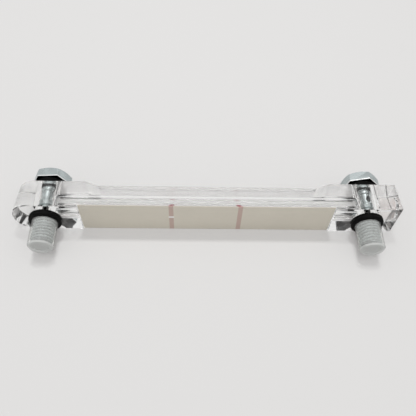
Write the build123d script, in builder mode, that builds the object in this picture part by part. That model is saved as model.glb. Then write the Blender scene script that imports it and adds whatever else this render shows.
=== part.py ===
"""Tank level gauge: a clear bar with a fluid channel, held to a tank wall by two hollow screws.

The gauge lies on its long side face. +X runs along the bar towards its square end, +Y from the
tank side to the screw heads, +Z up across the bar. The origin is the bottom centre of the whole.
Millimetres throughout. Depths are distances in front of the tank face of the bar.
"""

from build123d import *
import os
from math import cos, radians, tan

os.makedirs("parts", exist_ok=True)

# Clear bar
hole_spacing = 150.0  # centre distance of the two screws
bar_width = 19.5
window_depth = 11.8  # thinner middle, where the level is read
block_depth = 14.2  # thicker blocks that carry the screws
block_inner_reach = 18.0  # from each screw towards the middle, where the block ends
ramp_run = 6.3
round_end_reach = 15.3  # from the screw to the end, at the tank face
square_end_reach = 14.6
end_draft = 5.5  # degrees; both ends lean in towards the front
round_end_flat = 1.5  # straight stretch left at the tip of the rounded end
square_end_radius = 0.5
edge_bevel = 0.35
screw_bore = 11.2
channel_bore = 5.7
channel_depth = 7.1  # of its axis

# Plug that closes the drilled channel at the square end
plug_length = 7.2
plug_recess = 0.6
plug_clearance = 0.02

# Scale strip, in a shallow recess of the tank face
strip_length = 117.5
strip_thickness = 0.3
strip_recess = 0.8
strip_clearance = 0.3  # at each end

# Hollow screws
head_across_flats = 16.0
head_height = 5.0
head_face_share = 0.94  # flat circle left by the chamfer, as a share of the width across flats
head_chamfer = 30.0  # degrees
thread_major = 9.85
thread_core = 8.3
thread_reach = 13.9  # beyond the tank face
thread_start = 1.0  # inside the bar
thread_chamfer = 0.9
neck_diameter = 8.3  # under the head, where the seal sits
collar_diameter = 9.8
collar_round = 0.8
upper_collar_gap = 0.1  # to the head seal
upper_collar_length = 3.0
lower_collar_depth = 4.85  # of its middle
lower_collar_length = 2.7
waist_front_diameter = 8.6
waist_rear_diameter = 7.2
waist_taper = 0.6
cross_bore = 3.0
cross_bore_depth = 8.7
axial_bore = 4.4
drill_point = 59.0  # half angle of the drill tip, degrees
head_turn = {"round_end": 3.4, "square_end": 15.1}  # degrees
cross_bore_turn = {"round_end": 156.0, "square_end": 75.0}

# Seals
seal_diameter = 15.1
head_seal_thickness = 4.0
tank_seal_thickness = 2.8
seal_bevel = 0.6
seal_clearance = 0.05

# Transit caps pushed on the threads
cap_diameter = 11.8
cap_clearance = 0.1
cap_gap = 0.15  # between the cap's mouth and the seal
cap_end_space = 1.0  # between the thread's tip and the cap's floor
cap_floor = 1.0
cap_dish_diameter = 7.6
cap_dish_depth = 0.45
cap_dish_slope = 30.0  # degrees
cap_bevel = 0.7

# Where things come to lie
head_bearing = block_depth + head_seal_thickness
front_reach = head_bearing + head_height
cap_reach = thread_reach + cap_end_space + cap_floor
tank_face = (cap_reach - front_reach) / 2
middle_height = bar_width / 2
screw_x = {
    "round_end": (round_end_reach - square_end_reach) / 2 - hole_spacing / 2,
    "square_end": (round_end_reach - square_end_reach) / 2 + hole_spacing / 2,
}


def lengthwise(x):
    """Plane with its origin on the tank face at x, its x along +X and its y along +Y."""
    return Plane(origin=(x, tank_face, middle_height), x_dir=(1, 0, 0), z_dir=(0, 0, 1))


def across(x, depth):
    """Plane that faces the front at a depth; its normal is +Y."""
    return Plane(origin=(x, tank_face + depth, middle_height), x_dir=(1, 0, 0), z_dir=(0, 1, 0))


def screw_axis(x):
    return Axis((x, tank_face, middle_height), (0, 1, 0))


def leaning_edges(end_face):
    """The lowest and highest edge of an end face, which run from the tank side to the front."""
    edges = end_face.edges().sort_by(Axis.Z)
    return [edges[0], edges[-1]]


def write(part, name):
    part.label = name
    export_step(part, f"parts/{name}.step")


# Clear bar: one side profile, rounded at one end, with the two screw bores and the long channel
lean = block_depth * tan(radians(end_draft))
round_tip = screw_x["round_end"] - round_end_reach
square_tip = screw_x["square_end"] + square_end_reach
round_block = screw_x["round_end"] + block_inner_reach
square_block = screw_x["square_end"] - block_inner_reach

with BuildPart() as clear_body:
    with BuildSketch(Plane.XY):
        with BuildLine():
            Polyline(
                (round_tip, tank_face),
                (square_tip, tank_face),
                (square_tip - lean, tank_face + block_depth),
                (square_block, tank_face + block_depth),
                (square_block - ramp_run, tank_face + window_depth),
                (round_block + ramp_run, tank_face + window_depth),
                (round_block, tank_face + block_depth),
                (round_tip + lean, tank_face + block_depth),
                close=True,
            )
        make_face()
    extrude(amount=bar_width)
    fillet(leaning_edges(clear_body.faces().sort_by(Axis.X)[0]), radius=(bar_width - round_end_flat) / 2)
    fillet(leaning_edges(clear_body.faces().sort_by(Axis.X)[-1]), radius=square_end_radius)
    chamfer(clear_body.edges(), length=edge_bevel)
    for end_x in screw_x.values():
        with BuildSketch(across(end_x, 0)):
            Circle(screw_bore / 2)
        extrude(amount=block_depth, mode=Mode.SUBTRACT)
    channel_mouth = Plane(
        origin=(square_tip, tank_face + channel_depth, middle_height), x_dir=(0, 1, 0), z_dir=(-1, 0, 0)
    )
    with BuildSketch(channel_mouth):
        Circle(channel_bore / 2)
    extrude(amount=square_tip - screw_x["round_end"], mode=Mode.SUBTRACT)
    with BuildSketch(across(0, 0)):
        Rectangle(strip_length + 2 * strip_clearance, bar_width)
    extrude(amount=strip_recess, mode=Mode.SUBTRACT)
write(clear_body.part, "clear_body")

# Channel plug, a glued pin just inside the square end
mouth_x = square_tip - channel_depth * tan(radians(end_draft))
with BuildPart() as channel_plug:
    with BuildSketch(channel_mouth.offset(square_tip - mouth_x + plug_recess)):
        Circle(channel_bore / 2 - plug_clearance)
    extrude(amount=plug_length)
write(channel_plug.part, "channel_plug")

# Scale strip, bonded to the floor of its recess
with BuildPart() as scale_strip:
    with BuildSketch(across(0, strip_recess - strip_thickness)):
        Rectangle(strip_length, bar_width)
    extrude(amount=strip_thickness)
write(scale_strip.part, "scale_strip")


def hollow_screw(end):
    """One turned piece: hex head, shank with two collars and a waist, thread, and its bores."""
    x = screw_x[end]
    face_radius = head_across_flats * head_face_share / 2
    corner_radius = head_across_flats / 2 / cos(radians(30))
    chamfer_drop = (corner_radius - face_radius) * tan(radians(head_chamfer))
    upper_collar_front = block_depth - upper_collar_gap
    waist_front = upper_collar_front - upper_collar_length
    waist_rear = lower_collar_depth + lower_collar_length / 2
    with BuildPart() as screw:
        with BuildSketch(across(x, head_bearing)):
            RegularPolygon(head_across_flats / 2, 6, major_radius=False, rotation=-head_turn[end])
        extrude(amount=head_height)
        # The cone that rounds the head's outer corners
        with BuildSketch(lengthwise(x)):
            with BuildLine():
                Polyline(
                    (0, head_bearing),
                    (corner_radius, head_bearing),
                    (corner_radius, front_reach - chamfer_drop),
                    (face_radius, front_reach),
                    (0, front_reach),
                    close=True,
                )
            make_face()
        revolve(axis=screw_axis(x), mode=Mode.INTERSECT)
        # Shank and thread
        with BuildSketch(lengthwise(x)):
            with BuildLine():
                Polyline(
                    (0, front_reach - head_height / 2),
                    (neck_diameter / 2, front_reach - head_height / 2),
                    (neck_diameter / 2, upper_collar_front),
                    (collar_diameter / 2 - collar_round, upper_collar_front),
                    (collar_diameter / 2, upper_collar_front - collar_round),
                    (collar_diameter / 2, waist_front + collar_round),
                    (collar_diameter / 2 - collar_round, waist_front),
                    (waist_front_diameter / 2, waist_front),
                    (waist_front_diameter / 2, waist_front - waist_taper),
                    (waist_rear_diameter / 2, waist_rear + waist_taper),
                    (collar_diameter / 2, waist_rear),
                    (collar_diameter / 2, waist_rear - lower_collar_length),
                    (thread_core / 2, waist_rear - lower_collar_length),
                    (thread_core / 2, thread_start + thread_chamfer),
                    (thread_major / 2, thread_start),
                    (thread_major / 2, thread_chamfer - thread_reach),
                    (thread_major / 2 - thread_chamfer, -thread_reach),
                    (0, -thread_reach),
                    close=True,
                )
            make_face()
        revolve(axis=screw_axis(x))
        # Bore up the thread to the cross bore, with its drill point
        with BuildSketch(lengthwise(x)):
            with BuildLine():
                Polyline(
                    (0, -thread_reach),
                    (axial_bore / 2, -thread_reach),
                    (axial_bore / 2, cross_bore_depth),
                    (0, cross_bore_depth + axial_bore / 2 / tan(radians(drill_point))),
                    close=True,
                )
            make_face()
        revolve(axis=screw_axis(x), mode=Mode.SUBTRACT)
        drill = Plane(
            origin=(x, tank_face + cross_bore_depth, middle_height),
            x_dir=(0, 1, 0),
            z_dir=Vector(1, 0, 0).rotate(Axis.Y, -cross_bore_turn[end]),
        )
        with BuildSketch(drill):
            Circle(cross_bore / 2)
        extrude(amount=collar_diameter, both=True, mode=Mode.SUBTRACT)
    return screw.part


def seal(end, depth, thickness, bore):
    """Moulded rubber ring with bevelled outer edges; its back lies at the given depth."""
    with BuildPart() as ring:
        with BuildSketch(across(screw_x[end], depth)):
            Circle(seal_diameter / 2)
            Circle(bore / 2, mode=Mode.SUBTRACT)
        extrude(amount=thickness)
        chamfer(ring.edges().filter_by(GeomType.CIRCLE).sort_by(SortBy.RADIUS)[-2:], length=seal_bevel)
    return ring.part


def transit_cap(end):
    """Push-on cap: a thin sleeve over the thread, closed by a dished floor."""
    x = screw_x[end]
    mouth = -tank_seal_thickness - cap_gap
    inner_radius = thread_major / 2 + cap_clearance
    with BuildPart() as cap:
        with BuildSketch(across(x, -cap_reach)):
            Circle(cap_diameter / 2)
        extrude(amount=cap_reach + mouth)
        chamfer(cap.faces().sort_by(Axis.Y)[0].edges(), length=cap_bevel)
        with BuildSketch(across(x, cap_floor - cap_reach)):
            Circle(inner_radius)
        extrude(amount=cap_reach, mode=Mode.SUBTRACT)
        with BuildSketch(across(x, -cap_reach)):
            Circle(cap_dish_diameter / 2)
        extrude(amount=cap_dish_depth, taper=cap_dish_slope, mode=Mode.SUBTRACT)
    return cap.part


head_seal_bore = neck_diameter + 2 * seal_clearance
tank_seal_bore = thread_major + 2 * seal_clearance
for end in screw_x:
    write(hollow_screw(end), f"{end}_screw")
    write(seal(end, block_depth, head_seal_thickness, head_seal_bore), f"{end}_head_seal")
    write(seal(end, -tank_seal_thickness, tank_seal_thickness, tank_seal_bore), f"{end}_tank_seal")
    write(transit_cap(end), f"{end}_cap")
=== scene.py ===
"""Looks of a tank level gauge: clear bar, scale strip, hollow screws, seals and thread caps.

Metres throughout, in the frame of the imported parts: +X along the bar to its square end, +Y from
the tank side to the screw heads, +Z up. The gauge lies on its long side face at z = 0.
"""

import math

import bmesh
import bpy
from bpy.props import FloatProperty, FloatVectorProperty, PointerProperty
from mathutils import Matrix, Vector


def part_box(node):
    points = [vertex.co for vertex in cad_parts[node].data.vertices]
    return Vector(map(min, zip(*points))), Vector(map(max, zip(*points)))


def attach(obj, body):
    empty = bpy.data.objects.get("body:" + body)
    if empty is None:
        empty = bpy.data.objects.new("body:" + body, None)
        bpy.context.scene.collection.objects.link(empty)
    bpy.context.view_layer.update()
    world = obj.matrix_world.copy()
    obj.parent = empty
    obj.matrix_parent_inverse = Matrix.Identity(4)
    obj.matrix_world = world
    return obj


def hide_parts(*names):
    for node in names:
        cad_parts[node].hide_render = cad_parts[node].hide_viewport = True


bl_info = {
    "name": "Tank level gauge",
    "version": (1, 0, 0),
    "blender": (4, 5, 0),
    "location": "3D View > Sidebar > Level gauge",
    "description": "Builds the finishes and fine pieces of a tank level gauge round its packed parts",
    "category": "Object",
}

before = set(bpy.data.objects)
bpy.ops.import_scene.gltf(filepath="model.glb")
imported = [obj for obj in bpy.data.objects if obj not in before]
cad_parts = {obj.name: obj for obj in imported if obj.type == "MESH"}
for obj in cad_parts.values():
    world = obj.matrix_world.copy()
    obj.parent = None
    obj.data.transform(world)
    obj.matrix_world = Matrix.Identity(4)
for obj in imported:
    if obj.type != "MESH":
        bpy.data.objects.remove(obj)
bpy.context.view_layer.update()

ENDS = ("round_end", "square_end")
BODY = "root"
HAIR = 0.00002  # too small to see; keeps faces that touch from lying in one another
WELD = 1e-7  # corners closer than this are one
BLACK = (0.0, 0.0, 0.0, 1.0)


# ---------------------------------------------------------------- settings


class GaugeClearSettings(bpy.types.PropertyGroup):
    ior: FloatProperty(name="Refractive index", description="Of clear acrylic", default=1.49)
    tint: FloatVectorProperty(
        name="Tint",
        description="Colour of the clear bar",
        subtype="COLOR",
        default=(0.975, 0.976, 0.972),
    )
    plug_tint: FloatVectorProperty(
        name="Plug tint",
        description="Colour of the channel plug",
        subtype="COLOR",
        default=(0.97, 0.935, 0.925),
    )
    polish: FloatProperty(name="Roughness", description="Of the polished surface", default=0.02)
    lamp_share: FloatProperty(
        name="Lamp share",
        description="Share of the lamps' light that each surface lets straight through",
        default=0.76,
    )
    bond: FloatProperty(
        name="Bond",
        description="How far the plug and the bar run into each other",
        unit="LENGTH",
        default=0.00005,
    )


class GaugeStripSettings(bpy.types.PropertyGroup):
    film: FloatVectorProperty(
        name="Film",
        description="Colour of the film",
        subtype="COLOR",
        default=(0.80, 0.745, 0.64),
    )
    window_side: FloatVectorProperty(
        name="Window side",
        description="Colour of the film seen through the bar",
        subtype="COLOR",
        default=(0.95, 0.94, 0.93),
    )
    # Painted light: the film's window side glows, though it is no lamp
    window_painted_light: FloatProperty(
        name="Window glow",
        description="Own brightness of the film's window side",
        default=0.16,
    )
    print_red: FloatVectorProperty(
        name="Line",
        description="Colour of the level lines",
        subtype="COLOR",
        default=(0.34, 0.003, 0.026),
    )
    line_width: FloatProperty(
        name="Line width",
        description="Of each level line",
        unit="LENGTH",
        default=0.0021,
    )
    low_line: FloatProperty(
        name="Low line",
        description="From the middle between the screws",
        unit="LENGTH",
        default=-0.0170,
    )
    high_line: FloatProperty(
        name="High line",
        description="From the middle between the screws",
        unit="LENGTH",
        default=0.0148,
    )
    show_through: FloatProperty(
        name="Show-through",
        description="How much of the print shows on the tank side",
        default=0.36,
    )
    gap_colour: FloatVectorProperty(
        name="Gap colour",
        description="Of the bare spot in the low line",
        subtype="COLOR",
        default=(1.0, 0.97, 0.95),
    )
    gap_height: FloatProperty(
        name="Gap height",
        description="Of the bare spot above the floor",
        unit="LENGTH",
        default=0.0104,
    )
    gap_size: FloatProperty(
        name="Gap size",
        description="Of the bare spot",
        unit="LENGTH",
        default=0.0013,
    )
    bond: FloatProperty(
        name="Bond",
        description="How deep the print is bonded into the bar's face",
        unit="LENGTH",
        default=0.00002,
    )


class GaugeScrewSettings(bpy.types.PropertyGroup):
    zinc: FloatVectorProperty(
        name="Zinc",
        description="Colour of the plating",
        subtype="COLOR",
        default=(0.52, 0.57, 0.575),
    )
    roughness: FloatProperty(name="Roughness", description="Of the plating", default=0.22)
    # Painted shade: how dark the thread's grooves are painted against its crests
    groove_painted_shade: FloatProperty(
        name="Groove shade",
        description="Of the thread's grooves against its crests",
        default=0.35,
    )
    # Painted highlight: a bright line painted round the bearing face's rim
    rim_highlight: FloatVectorProperty(
        name="Rubbed rim",
        description="Colour of the bright rim round the bearing face",
        subtype="COLOR",
        default=(0.97, 0.98, 0.98),
    )
    # Near-black colour painted on the head's bearing face
    bearing_face_black: FloatVectorProperty(
        name="Stain",
        description="Colour that the seal leaves on the bearing face",
        subtype="COLOR",
        default=(0.003, 0.003, 0.003),
    )
    rim: FloatProperty(
        name="Rim height",
        description="Of the bright rim round the bearing face",
        unit="LENGTH",
        default=0.0006,
    )
    pitch: FloatProperty(name="Pitch", description="Of the thread", unit="LENGTH", default=0.0015)
    depth: FloatProperty(
        name="Thread depth",
        description="Crest to root",
        unit="LENGTH",
        default=0.0009,
    )
    run_in: FloatProperty(
        name="Thread start",
        description="Inside the bar's tank face",
        unit="LENGTH",
        default=0.0010,
    )


class GaugeSealSettings(bpy.types.PropertyGroup):
    rubber: FloatVectorProperty(
        name="Rubber",
        description="Colour of the rubber",
        subtype="COLOR",
        default=(0.003, 0.003, 0.003),
    )
    rounding: FloatProperty(
        name="Rounding",
        description="Of the outer edges",
        unit="LENGTH",
        default=0.0007,
    )


class GaugeCapSettings(bpy.types.PropertyGroup):
    plastic: FloatVectorProperty(
        name="Plastic",
        description="Colour of the caps",
        subtype="COLOR",
        default=(0.88, 0.89, 0.875),
    )
    roughness: FloatProperty(name="Roughness", description="Of the moulded surface", default=0.07)
    ior: FloatProperty(name="Refractive index", description="Of the caps", default=1.06)
    clearness: FloatProperty(
        name="Clearness",
        description="Share of light that passes the sleeve",
        default=0.82,
    )
    lamp_share: FloatProperty(
        name="Lamp share",
        description="Share of the lamps' light that each surface lets straight through",
        default=0.8,
    )
    floor: FloatProperty(
        name="Floor",
        description="How far up the milky floor reaches",
        unit="LENGTH",
        default=0.0016,
    )
    # Painted shade: the closed end's colour is a darker copy of the sleeve's
    floor_shade: FloatProperty(
        name="Floor shade",
        description="Of the floor against the sleeve",
        default=0.87,
    )
    floor_clearness: FloatProperty(
        name="Floor clearness",
        description="Share of light that passes the thicker floor",
        default=0.3,
    )


class GaugeStageSettings(bpy.types.PropertyGroup):
    floor: FloatVectorProperty(
        name="Floor",
        description="Colour of the floor",
        subtype="COLOR",
        default=(0.455, 0.455, 0.452),
    )
    glow_tint: FloatVectorProperty(
        name="Glow tint",
        description="Colour of the floor's own brightness",
        subtype="COLOR",
        default=(1.0, 0.96, 0.95),
    )
    glow: FloatProperty(
        name="Floor glow",
        description="Own brightness that only a viewer sees",
        default=0.20,
    )
    sky: FloatProperty(name="Sky", description="Strength of the even light", default=0.62)
    seen_sky: FloatProperty(
        name="Seen sky",
        description="Brightness of the room where it is seen",
        default=0.85,
    )
    key: FloatProperty(
        name="Key",
        description="Strength of the main lamp",
        unit="POWER",
        default=2.8,
    )
    glint: FloatProperty(
        name="Glint",
        description="Part of the main light that metal mirrors",
        unit="POWER",
        default=1.4,
    )
    fill: FloatProperty(
        name="Fill",
        description="Strength of the broad lamp",
        unit="POWER",
        default=2.0,
    )


# ---------------------------------------------------------------- mesh helpers


def piece_from(name, bm):
    """A new object in the scene, with its faces turned outwards."""
    mesh = bpy.data.meshes.new(name)
    bmesh.ops.recalc_face_normals(bm, faces=bm.faces)
    bm.to_mesh(mesh)
    bm.free()
    piece = bpy.data.objects.new(name, mesh)
    bpy.context.scene.collection.objects.link(piece)
    return piece


def copy_of(node, name):
    """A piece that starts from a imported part's own mesh."""
    piece = bpy.data.objects.new(name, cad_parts[node].data.copy())
    bpy.context.scene.collection.objects.link(piece)
    return piece


def apply_modifiers(piece):
    """Makes the shape that the modifiers give the piece's own mesh."""
    graph = bpy.context.evaluated_depsgraph_get()
    done = bpy.data.meshes.new_from_object(piece.evaluated_get(graph))
    piece.modifiers.clear()
    piece.data = done


def cut_or_join(piece, tool, operation):
    """Boolean with a helper solid, which is then removed."""
    step = piece.modifiers.new("Boolean", "BOOLEAN")
    step.operation = operation
    step.solver = "EXACT"
    step.object = tool
    apply_modifiers(piece)
    bpy.data.objects.remove(tool)
    if not piece.data.polygons:
        raise RuntimeError(f"{piece.name}: the {operation.lower()} left no faces")


def smooth(piece, angle=35):
    """Smooth shading, with edges sharper than the angle kept sharp."""
    with bpy.context.temp_override(object=piece, active_object=piece, selected_editable_objects=[piece]):
        bpy.ops.object.shade_smooth_by_angle(angle=math.radians(angle))


def even_shading(piece, angle):
    """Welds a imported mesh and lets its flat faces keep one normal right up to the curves."""
    bm = bmesh.new()
    bm.from_mesh(piece.data)
    bmesh.ops.remove_doubles(bm, verts=bm.verts, dist=WELD)
    bmesh.ops.dissolve_limit(bm, angle_limit=math.radians(0.05), verts=bm.verts, edges=bm.edges)
    bm.to_mesh(piece.data)
    bm.free()
    smooth(piece, angle)
    weigh = piece.modifiers.new("Weigh", "WEIGHTED_NORMAL")
    weigh.weight = 100
    weigh.keep_sharp = True
    apply_modifiers(piece)


def lathe(name, profile, centre, steps=128):
    """Turns a closed profile of (radius, y) points about the axis through centre along Y."""
    bm = bmesh.new()
    rings = []
    for i in range(steps):
        a = 2 * math.pi * i / steps
        cos, sin = math.cos(a), math.sin(a)
        rings.append([bm.verts.new((centre[0] + r * cos, y, centre[2] + r * sin)) for r, y in profile])
    for i in range(steps):
        here, there = rings[i], rings[(i + 1) % steps]
        for j in range(len(profile)):
            k = (j + 1) % len(profile)
            bm.faces.new((here[j], here[k], there[k], there[j]))
    bmesh.ops.remove_doubles(bm, verts=bm.verts, dist=WELD)
    bmesh.ops.dissolve_degenerate(bm, edges=bm.edges, dist=WELD)
    return piece_from(name, bm)


def rounded(centre, radius, start, end, steps=6):
    """Points of a quarter round about its centre, from angle start to angle end in degrees."""
    angles = [math.radians(start + (end - start) * i / steps) for i in range(steps + 1)]
    return [(centre[0] + radius * math.cos(a), centre[1] + radius * math.sin(a)) for a in angles]


def rod_along_x(name, middle, length, radius):
    """A round rod along X about its middle."""
    profile = [(0, -length / 2), (radius, -length / 2), (radius, length / 2), (0, length / 2)]
    rod = lathe(name, profile, (0, 0, 0), 64)
    rod.data.transform(Matrix.Translation(middle) @ Matrix.Rotation(math.radians(-90), 4, "Z"))
    return rod


def centre_of(node):
    low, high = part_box(node)
    return (low + high) / 2


def middle_between_screws():
    """The place along X that the level lines are measured from."""
    return (centre_of("round_end_screw").x + centre_of("square_end_screw").x) / 2


def stand_for(piece, node):
    """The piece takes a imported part's place."""
    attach(piece, BODY)
    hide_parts(node)


# ---------------------------------------------------------------- material helpers


class Nodes:
    """Short calls for building one node tree."""

    def __init__(self, tree):
        self.tree = tree

    def add(self, kind, *values, **settings):
        node = self.tree.nodes.new(kind)
        for key, value in settings.items():
            setattr(node, key, value)
        for socket, value in zip(node.inputs, values):
            self.feed(socket, value)
        return node

    def feed(self, socket, value):
        if isinstance(value, bpy.types.NodeSocket):
            self.tree.links.new(value, socket)
        elif value is not None:
            socket.default_value = value

    def math(self, operation, a, b=None):
        return self.add("ShaderNodeMath", a, b, operation=operation).outputs[0]

    def mix(self, factor, a, b):
        node = self.add("ShaderNodeMix", data_type="RGBA")
        self.feed(node.inputs["Factor"], factor)
        self.feed(node.inputs[6], a)
        self.feed(node.inputs[7], b)
        return node.outputs[2]

    def noise(self, vector, scale=1.0, detail=2.0, roughness=0.5):
        node = self.add("ShaderNodeTexNoise")
        self.feed(node.inputs["Vector"], vector)
        self.feed(node.inputs["Scale"], scale)
        self.feed(node.inputs["Detail"], detail)
        self.feed(node.inputs["Roughness"], roughness)
        return node.outputs["Fac"]

    def spread(self, value, low, high, to_low, to_high):
        return self.add("ShaderNodeMapRange", value, low, high, to_low, to_high).outputs[0]

    def stretched(self, vector, scale):
        node = self.add("ShaderNodeMapping", vector)
        node.inputs["Scale"].default_value = scale
        return node.outputs["Vector"]

    def split(self, vector):
        return self.add("ShaderNodeSeparateXYZ", vector).outputs

    def off(self, value, place):
        """How far a value is from a place, to either side."""
        return self.math("ABSOLUTE", self.math("SUBTRACT", value, place))

    def bump(self, height, distance):
        node = self.add("ShaderNodeBump")
        node.inputs["Distance"].default_value = distance
        self.feed(node.inputs["Height"], height)
        return node.outputs["Normal"]


def new_material(name):
    """An empty material: its nodes, its shader and the place on the piece."""
    material = bpy.data.materials.new(name)
    material.use_nodes = True
    tree = material.node_tree
    tree.nodes.clear()
    n = Nodes(tree)
    output = n.add("ShaderNodeOutputMaterial")
    shader = n.add("ShaderNodeBsdfPrincipled")
    tree.links.new(shader.outputs[0], output.inputs["Surface"])
    place = n.add("ShaderNodeTexCoord").outputs["Object"]
    return material, n, shader, place


def dress(n, shader, base, marks, height, distance):
    """Colour, gloss and fine relief of a surface."""
    n.feed(shader.inputs["Base Color"], base)
    n.feed(shader.inputs["Roughness"], marks["Roughness"])
    n.feed(shader.inputs["Normal"], n.bump(height, distance))


def let_light_through(material, n, shader, share):
    """Clear plastics shade only part of the lamps' light."""
    output = material.node_tree.get_output_node("ALL")
    shadow = n.add("ShaderNodeLightPath").outputs["Is Shadow Ray"]
    passed = n.math("MULTIPLY", shadow, share)
    open_air = n.add("ShaderNodeBsdfTransparent")
    both = n.add("ShaderNodeMixShader", passed, shader.outputs[0], open_air.outputs[0])
    material.node_tree.links.new(both.outputs[0], output.inputs["Surface"])


def colour(value):
    return (*value[:3], 1.0)


def shade(value, factor):
    return tuple(min(1.0, v * factor) for v in value[:3])


def group_tree(name, inputs, outputs):
    """A shader node group with named float, colour and vector sockets."""
    tree = bpy.data.node_groups.new(name, "ShaderNodeTree")
    kinds = {"value": "NodeSocketFloat", "colour": "NodeSocketColor", "vector": "NodeSocketVector"}
    for label, kind, default in inputs:
        socket = tree.interface.new_socket(name=label, in_out="INPUT", socket_type=kinds[kind])
        if default is not None:
            socket.default_value = default
    for label, kind in outputs:
        tree.interface.new_socket(name=label, in_out="OUTPUT", socket_type=kinds[kind])
    n = Nodes(tree)
    return tree, n, n.add("NodeGroupInput").outputs, n.add("NodeGroupOutput").inputs


def mottle_group():
    """Slow change of shade and gloss over a surface, with a fine grain on top."""
    found = bpy.data.node_groups.get("Surface mottle")
    if found:
        return found
    tree, n, given, result = group_tree(
        "Surface mottle",
        [
            ("Place", "vector", None),
            ("Colour", "colour", (0.8, 0.8, 0.8, 1.0)),
            ("Second colour", "colour", (0.7, 0.7, 0.7, 1.0)),
            ("Scale", "value", 150.0),
            ("Roughness low", "value", 0.2),
            ("Roughness high", "value", 0.4),
        ],
        [("Colour", "colour"), ("Roughness", "value"), ("Grain", "value")],
    )
    finer = 9.0
    slow_part, fine_part = 0.7, 0.3
    slow = n.noise(given["Place"], given["Scale"])
    fine = n.noise(given["Place"], n.math("MULTIPLY", given["Scale"], finer), detail=4.0, roughness=0.6)
    both = n.math("ADD", n.math("MULTIPLY", slow, slow_part), n.math("MULTIPLY", fine, fine_part))
    share = n.spread(both, 0.35, 0.65, 0.0, 1.0)
    n.feed(result["Colour"], n.mix(share, given["Colour"], given["Second colour"]))
    gloss = n.spread(share, 0.0, 1.0, given["Roughness low"], given["Roughness high"])
    n.feed(result["Roughness"], gloss)
    n.feed(result["Grain"], fine)
    return tree


def mottled(n, place, main, second_shade, scale, low, high):
    """Mottle between a colour and a shade of it, and between a low and a high roughness."""
    node = n.add("ShaderNodeGroup")
    node.node_tree = mottle_group()
    n.feed(node.inputs["Place"], place)
    n.feed(node.inputs["Colour"], colour(main))
    n.feed(node.inputs["Second colour"], colour(shade(main, second_shade)))
    n.feed(node.inputs["Scale"], scale)
    n.feed(node.inputs["Roughness low"], low)
    n.feed(node.inputs["Roughness high"], high)
    return node.outputs


# ---------------------------------------------------------------- finishes


def clear_acrylic(name, tint, ior, settings):
    """Polished clear plastic, with faint flow lines along the bar."""
    material, n, shader, place = new_material(name)
    marks = mottled(n, place, tint, 0.985, 60.0, settings.polish * 0.3, settings.polish)
    shader.inputs["IOR"].default_value = ior
    shader.inputs["Transmission Weight"].default_value = 1.0
    flow = n.noise(n.stretched(place, (18.0, 420.0, 420.0)))
    dress(n, shader, marks["Colour"], marks, flow, 0.000002)
    let_light_through(material, n, shader, settings.lamp_share)
    return material


def level_lines(n, settings, along, middle_x):
    """1 on the two printed lines, with a slightly soft edge."""
    half, soft = settings.line_width / 2, 0.00008
    first, second = (
        n.spread(n.off(along, middle_x + x), half - soft, half + soft, 1.0, 0.0)
        for x in (settings.low_line, settings.high_line)
    )
    return n.math("MAXIMUM", first, second)


def strip_film(settings, centre, middle_x, top):
    """White film: two red lines printed on the window side that show faintly through."""
    material, n, shader, place = new_material("Strip film")
    parts = n.split(place)
    marks = mottled(n, place, settings.film, 0.95, 45.0, 0.45, 0.6)
    window_side = n.math("GREATER_THAN", parts["Y"], centre.y)
    film = n.mix(window_side, marks["Colour"], colour(settings.window_side))
    # Painted shade: the film's top edge, which faces the light, is coloured darker
    edge_start, top_painted_shade = top - 0.0001, 0.7
    painted_shade_top = n.math("GREATER_THAN", parts["Z"], edge_start)
    film = n.mix(painted_shade_top, film, colour(shade(settings.film, top_painted_shade)))
    strength = n.spread(window_side, 0.0, 1.0, settings.show_through, 1.0)
    ink = n.math("MULTIPLY", level_lines(n, settings, parts["X"], middle_x), strength)
    inked = n.mix(ink, film, colour(settings.print_red))
    # A bare spot right across the low line, where the backing is missing
    reach = settings.line_width / 2 * 1.2
    in_height = n.math("LESS_THAN", n.off(parts["Z"], settings.gap_height), settings.gap_size / 2)
    in_width = n.math("LESS_THAN", n.off(parts["X"], middle_x + settings.low_line), reach)
    base = n.mix(n.math("MULTIPLY", in_height, in_width), inked, colour(settings.gap_colour))
    # Painted light: the window side glows, an allowance that keeps the film white where it is seen
    # through the bar
    painted_light_mask = n.math("MULTIPLY", window_side, n.math("LESS_THAN", parts["Z"], edge_start))
    n.feed(shader.inputs["Emission Color"], n.mix(painted_light_mask, BLACK, inked))
    shader.inputs["Emission Strength"].default_value = settings.window_painted_light
    dress(n, shader, base, marks, marks["Grain"], 0.00001)
    return material


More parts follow.
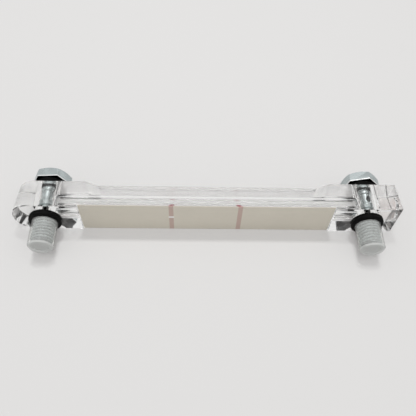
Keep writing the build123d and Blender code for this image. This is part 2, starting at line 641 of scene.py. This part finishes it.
def zinc_plating(settings, name, bearing, axis, crest, thread_top):
    """Clear zinc on turned steel: cool grey, slightly uneven, with fine turning marks."""
    material, n, shader, place = new_material(name)
    marks = mottled(n, place, settings.zinc, 0.78, 350.0, settings.roughness, settings.roughness * 1.5)
    parts = n.split(place)
    # Painted shade in the thread's grooves, which are coloured darker than its crests
    across = n.math("SUBTRACT", parts["X"], axis.x)
    up = n.math("SUBTRACT", parts["Z"], axis.z)
    squares = n.math("ADD", n.math("MULTIPLY", across, across), n.math("MULTIPLY", up, up))
    radius = n.math("SQRT", squares)
    dull, bright = crest - settings.depth * 0.8, crest - settings.depth * 0.15
    groove = n.spread(radius, dull, bright, 1.0, 0.0)
    groove = n.math("MULTIPLY", groove, n.math("LESS_THAN", parts["Y"], thread_top))
    plating = n.mix(groove, marks["Colour"], colour(shade(settings.zinc, settings.groove_painted_shade)))
    # The head's bearing face is painted near black, and a painted highlight runs round its rim
    face_depth, rim_below = 0.00003, 0.0001
    above = n.math("SUBTRACT", parts["Y"], bearing)
    # Painted highlight along the bearing face's rim
    rim = n.spread(above, settings.rim * 0.7, settings.rim, 1.0, 0.0)
    rim = n.math("MULTIPLY", rim, n.math("GREATER_THAN", above, -rim_below))
    near_black_face = n.math("LESS_THAN", n.math("ABSOLUTE", above), face_depth)
    rim_highlight = n.mix(rim, plating, colour(settings.rim_highlight))
    base = n.mix(near_black_face, rim_highlight, colour(settings.bearing_face_black))
    shader.inputs["Metallic"].default_value = 1.0
    rings = n.noise(n.stretched(place, (40.0, 9000.0, 40.0)))
    height = n.math("ADD", n.math("MULTIPLY", rings, 0.5), n.math("MULTIPLY", marks["Grain"], 0.5))
    dress(n, shader, base, marks, height, 0.000004)
    return material


def seal_rubber(settings):
    """Moulded black rubber with a dull skin."""
    material, n, shader, place = new_material("Seal rubber")
    marks = mottled(n, place, settings.rubber, 1.6, 500.0, 0.42, 0.6)
    shader.inputs["Specular IOR Level"].default_value = 0.05
    dress(n, shader, marks["Colour"], marks, marks["Grain"], 0.00002)
    return material


def cap_plastic(name, settings, plastic, clearness):
    """Natural polyethylene: milky, lets the thread under it show."""
    material, n, shader, place = new_material(name)
    marks = mottled(n, place, plastic, 0.96, 220.0, settings.roughness, settings.roughness * 1.3)
    shader.inputs["IOR"].default_value = settings.ior
    shader.inputs["Transmission Weight"].default_value = clearness
    dress(n, shader, marks["Colour"], marks, marks["Grain"], 0.000002)
    let_light_through(material, n, shader, settings.lamp_share)
    return material


# ---------------------------------------------------------------- pieces


class GAUGE_OT_clear_bar(bpy.types.Operator):
    """Polish the clear bar and its channel plug"""

    bl_idname = "gauge.clear_bar"
    bl_label = "Clear bar"

    def execute(self, context):
        settings = context.scene.gauge_clear
        low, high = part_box("channel_plug")
        middle, length, radius = (low + high) / 2, high.x - low.x, (high.z - low.z) / 2
        # The bonded joint leaves no gap, so the bar runs on through the plug's place
        joint = rod_along_x("joint", middle, length, radius + settings.bond)
        bar = copy_of("clear_body", "clear_bar_polished")
        cut_or_join(bar, joint, "UNION")
        even_shading(bar, 25)
        bar.data.materials.clear()
        bar.data.materials.append(clear_acrylic("Clear acrylic", settings.tint, settings.ior, settings))
        stand_for(bar, "clear_body")
        inside = length - 2 * settings.bond
        plug = rod_along_x("channel_plug_bonded", middle, inside, radius - settings.bond)
        smooth(plug)
        # Inside the bar's own plastic, so its faces bend no light
        no_bend = 1.0
        plug.data.materials.append(clear_acrylic("Bonded plug", settings.plug_tint, no_bend, settings))
        stand_for(plug, "channel_plug")
        return {"FINISHED"}


class GAUGE_OT_scale_strip(bpy.types.Operator):
    """Lay the scale strip on the tank face of the bar"""

    bl_idname = "gauge.scale_strip"
    bl_label = "Scale strip"

    def execute(self, context):
        settings = context.scene.gauge_strip
        low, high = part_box("scale_strip")
        high.y += settings.bond
        middle, size = (low + high) / 2, high - low
        bm = bmesh.new()
        bmesh.ops.create_cube(bm, size=1.0)
        shape = Matrix.Translation(middle) @ Matrix.Diagonal((*size, 1))
        bmesh.ops.transform(bm, matrix=shape, verts=bm.verts)
        bmesh.ops.bevel(bm, geom=bm.edges[:], offset=size.y * 0.2, segments=2, affect="EDGES")
        strip = piece_from("scale_strip_film", bm)
        smooth(strip)
        strip.data.materials.append(strip_film(settings, middle, middle_between_screws(), high.z))
        stand_for(strip, "scale_strip")
        return {"FINISHED"}


def thread_cutter(axis, start, end, settings, crest):
    """Helical V groove from y = start down past y = end, as a closed solid to cut with."""
    root, pitch = crest - settings.depth, settings.pitch
    root_half, crest_half = pitch / 16, pitch * 7 / 16
    outside = crest * 1.04
    section = (
        (root, -root_half),
        (root, root_half),
        (crest, crest_half),
        (outside, crest_half),
        (outside, -crest_half),
        (crest, -crest_half),
    )
    per_turn, run_out = 64, 1.2
    count = int(((start - end) / pitch + run_out) * per_turn)
    bm = bmesh.new()
    rings = []
    for i in range(count + 1):
        a = 2 * math.pi * i / per_turn
        cos, sin = math.cos(a), math.sin(a)
        y = start - pitch * i / per_turn
        rings.append([bm.verts.new((axis.x + r * cos, y + dy, axis.z + r * sin)) for r, dy in section])
    for here, there in zip(rings, rings[1:]):
        for j in range(len(section)):
            k = (j + 1) % len(section)
            bm.faces.new((here[j], here[k], there[k], there[j]))
    bm.faces.new(rings[0])
    bm.faces.new(rings[-1])
    return piece_from("thread_cutter", bm)


class GAUGE_OT_hollow_screws(bpy.types.Operator):
    """Cut the threads of the two hollow screws and plate them"""

    bl_idname = "gauge.hollow_screws"
    bl_label = "Hollow screws"

    def execute(self, context):
        settings = context.scene.gauge_screw
        for end in ENDS:
            node = f"{end}_screw"
            low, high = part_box(node)
            axis = centre_of(f"{end}_tank_seal")
            tank_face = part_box(f"{end}_tank_seal")[1].y
            thread_top = tank_face + settings.run_in
            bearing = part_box(f"{end}_head_seal")[1].y
            screw = copy_of(node, f"{end}_screw_threaded")
            shank = [v.co for v in screw.data.vertices if v.co.y < tank_face]
            crest = max(math.hypot(co.x - axis.x, co.z - axis.z) for co in shank)
            cutter = thread_cutter(axis, thread_top, low.y, settings, crest)
            cut_or_join(screw, cutter, "DIFFERENCE")
            even_shading(screw, 30)
            screw.data.materials.clear()
            plating = zinc_plating(settings, f"Zinc plating {end}", bearing, axis, crest, thread_top)
            screw.data.materials.append(plating)
            stand_for(screw, node)
        return {"FINISHED"}


class GAUGE_OT_seals(bpy.types.Operator):
    """Mould the four rubber seals"""

    bl_idname = "gauge.seals"
    bl_label = "Seals"

    def execute(self, context):
        settings = context.scene.gauge_seal
        rubber = seal_rubber(settings)
        for node in (f"{end}_{side}_seal" for end in ENDS for side in ("head", "tank")):
            low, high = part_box(node)
            centre = (low + high) / 2
            corners = [v.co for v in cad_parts[node].data.vertices]
            inner = min(math.hypot(co.x - centre.x, co.z - centre.z) for co in corners)
            outer, r = (high.x - low.x) / 2, settings.rounding
            bottom, top = low.y + HAIR, high.y - HAIR
            profile = [(inner, bottom)]
            profile += rounded((outer - r, bottom + r), r, -90, 0)
            profile += rounded((outer - r, top - r), r, 0, 90)
            profile += [(inner, top)]
            ring = lathe(f"{node}_moulded", profile, centre)
            smooth(ring)
            ring.data.materials.append(rubber)
            stand_for(ring, node)
        return {"FINISHED"}


class GAUGE_OT_caps(bpy.types.Operator):
    """Mould the two transit caps"""

    bl_idname = "gauge.caps"
    bl_label = "Transit caps"

    def execute(self, context):
        settings = context.scene.gauge_cap
        # Painted shade: the closed end gets a darker copy of the sleeve's colour
        shaded_floor_plastic = shade(settings.plastic, settings.floor_shade)
        sleeve = cap_plastic("Cap sleeve", settings, settings.plastic, settings.clearness)
        closed_end = cap_plastic("Cap floor", settings, shaded_floor_plastic, settings.floor_clearness)
        for end in ENDS:
            node = f"{end}_cap"
            cap = copy_of(node, f"{node}_moulded")
            even_shading(cap, 30)
            cap.data.materials.clear()
            cap.data.materials.append(sleeve)
            cap.data.materials.append(closed_end)
            floor_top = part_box(node)[0].y + settings.floor
            for face in cap.data.polygons:
                face.material_index = int(face.center.y < floor_top)
            stand_for(cap, node)
        return {"FINISHED"}


# ---------------------------------------------------------------- stage


def seen(n):
    """1 for the rays by which a viewer sees a surface straight, mirrored or through glass."""
    path = n.add("ShaderNodeLightPath").outputs
    mirrored = n.math("MAXIMUM", path["Is Glossy Ray"], path["Is Transmission Ray"])
    by_eye = n.math("LESS_THAN", path["Diffuse Depth"], 0.5)
    return n.math("MULTIPLY", n.math("MAXIMUM", path["Is Camera Ray"], mirrored), by_eye)


def paper_floor(settings):
    """Wide plain floor just under the gauge."""
    material, n, shader, place = new_material("Paper floor")
    marks = mottled(n, place, settings.floor, 0.995, 8.0, 0.85, 0.95)
    n.feed(shader.inputs["Base Color"], marks["Colour"])
    n.feed(shader.inputs["Roughness"], marks["Roughness"])
    shader.inputs["Specular IOR Level"].default_value = 0.0
    shader.inputs["Emission Color"].default_value = colour(settings.glow_tint)
    n.feed(shader.inputs["Emission Strength"], n.math("MULTIPLY", seen(n), settings.glow))
    bm = bmesh.new()
    bmesh.ops.create_grid(bm, x_segments=8, y_segments=8, size=2.5)
    floor = piece_from("floor", bm)
    floor.location.z = -HAIR
    floor.data.materials.append(material)


def area_lamp(name, place, size, power):
    """Rectangular lamp aimed at the gauge, not itself seen through the clear plastics."""
    lamp = bpy.data.lights.new(name, "AREA")
    lamp.shape = "RECTANGLE"
    lamp.size, lamp.size_y = size
    lamp.energy = power
    thing = bpy.data.objects.new(name, lamp)
    bpy.context.scene.collection.objects.link(thing)
    aim = Vector((0, 0, 0)) - Vector(place)
    thing.location = place
    thing.rotation_euler = aim.to_track_quat("-Z", "Y").to_euler()
    thing.visible_transmission = False
    return thing


def soft_room(settings):
    """Even light all round, a little brighter where a viewer sees it."""
    world = bpy.data.worlds.new("Soft room")
    world.use_nodes = True
    world.node_tree.nodes.clear()
    n = Nodes(world.node_tree)
    output = n.add("ShaderNodeOutputWorld")
    strength = n.spread(seen(n), 0.0, 1.0, settings.sky, settings.seen_sky)
    sky = n.add("ShaderNodeBackground", (1.0, 1.0, 0.995, 1.0), strength)
    world.node_tree.links.new(sky.outputs[0], output.inputs["Surface"])
    return world


def tank_side_camera():
    """Looks down on the tank side from above, a quarter of a metre away."""
    tank_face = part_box("clear_body")[0].y
    across, back, up = -0.00749, -0.12753, 0.20396
    height = centre_of("clear_body").z
    place = Vector((middle_between_screws() + across, tank_face + back, height + up))
    pitch, yaw, roll = 0.9897, 0.0572, 0.0583
    level = Vector((math.cos(yaw), -math.sin(yaw), 0))
    flat = math.cos(pitch)
    forward = Vector((math.sin(yaw) * flat, math.cos(yaw) * flat, -math.sin(pitch)))
    above = level.cross(forward)
    right = math.cos(roll) * level + math.sin(roll) * above
    top = -math.sin(roll) * level + math.cos(roll) * above
    data = bpy.data.cameras.new("Camera")
    data.sensor_width = 36.0
    data.lens = 36.0 * 514.05 / 416
    data.clip_start, data.clip_end = 0.01, 20.0
    camera = bpy.data.objects.new("Camera", data)
    turn = Matrix((right, top, -forward)).transposed().to_4x4()
    camera.matrix_world = Matrix.Translation(place) @ turn
    bpy.context.scene.collection.objects.link(camera)
    bpy.context.scene.camera = camera


class GAUGE_OT_stage(bpy.types.Operator):
    """Set the floor, the soft light and the camera"""

    bl_idname = "gauge.stage"
    bl_label = "Stage"

    def execute(self, context):
        settings = context.scene.gauge_stage
        paper_floor(settings)
        # The main light in two lamps: metal inside the clear bar mirrors only the weaker one
        small, broad = (0.09, 0.09), (0.30, 0.22)
        key = area_lamp("Key", (0.0, 0.32, 0.95), small, settings.key)
        key.visible_glossy = False
        area_lamp("Glint", (0.0, 0.32, 0.96), small, settings.glint)
        area_lamp("Fill", (-0.06, -0.10, 0.9), broad, settings.fill)
        context.scene.world = soft_room(settings)
        tank_side_camera()
        context.scene.view_settings.view_transform = "Standard"
        return {"FINISHED"}


# ---------------------------------------------------------------- add-on


SETTINGS = {
    "gauge_clear": GaugeClearSettings,
    "gauge_strip": GaugeStripSettings,
    "gauge_screw": GaugeScrewSettings,
    "gauge_seal": GaugeSealSettings,
    "gauge_cap": GaugeCapSettings,
    "gauge_stage": GaugeStageSettings,
}
OPERATORS = (
    GAUGE_OT_clear_bar,
    GAUGE_OT_scale_strip,
    GAUGE_OT_hollow_screws,
    GAUGE_OT_seals,
    GAUGE_OT_caps,
    GAUGE_OT_stage,
)


class GAUGE_PT_panel(bpy.types.Panel):
    """The gauge's sizes, colours and build steps"""

    bl_label = "Level gauge"
    bl_idname = "GAUGE_PT_panel"
    bl_space_type = "VIEW_3D"
    bl_region_type = "UI"
    bl_category = "Level gauge"

    def draw(self, context):
        for name, group in SETTINGS.items():
            box = self.layout.box()
            for prop in group.__annotations__:
                box.prop(getattr(context.scene, name), prop)
        for operator in OPERATORS:
            self.layout.operator(operator.bl_idname)


def register():
    for name, group in SETTINGS.items():
        bpy.utils.register_class(group)
        setattr(bpy.types.Scene, name, PointerProperty(type=group))
    for operator in OPERATORS:
        bpy.utils.register_class(operator)
    bpy.utils.register_class(GAUGE_PT_panel)


def unregister():
    bpy.utils.unregister_class(GAUGE_PT_panel)
    for operator in reversed(OPERATORS):
        bpy.utils.unregister_class(operator)
    for name, group in SETTINGS.items():
        delattr(bpy.types.Scene, name)
        bpy.utils.unregister_class(group)


def main():
    register()
    bpy.ops.gauge.clear_bar()
    bpy.ops.gauge.scale_strip()
    bpy.ops.gauge.hollow_screws()
    bpy.ops.gauge.seals()
    bpy.ops.gauge.caps()
    bpy.ops.gauge.stage()
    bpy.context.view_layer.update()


if __name__ == "__main__":
    main()
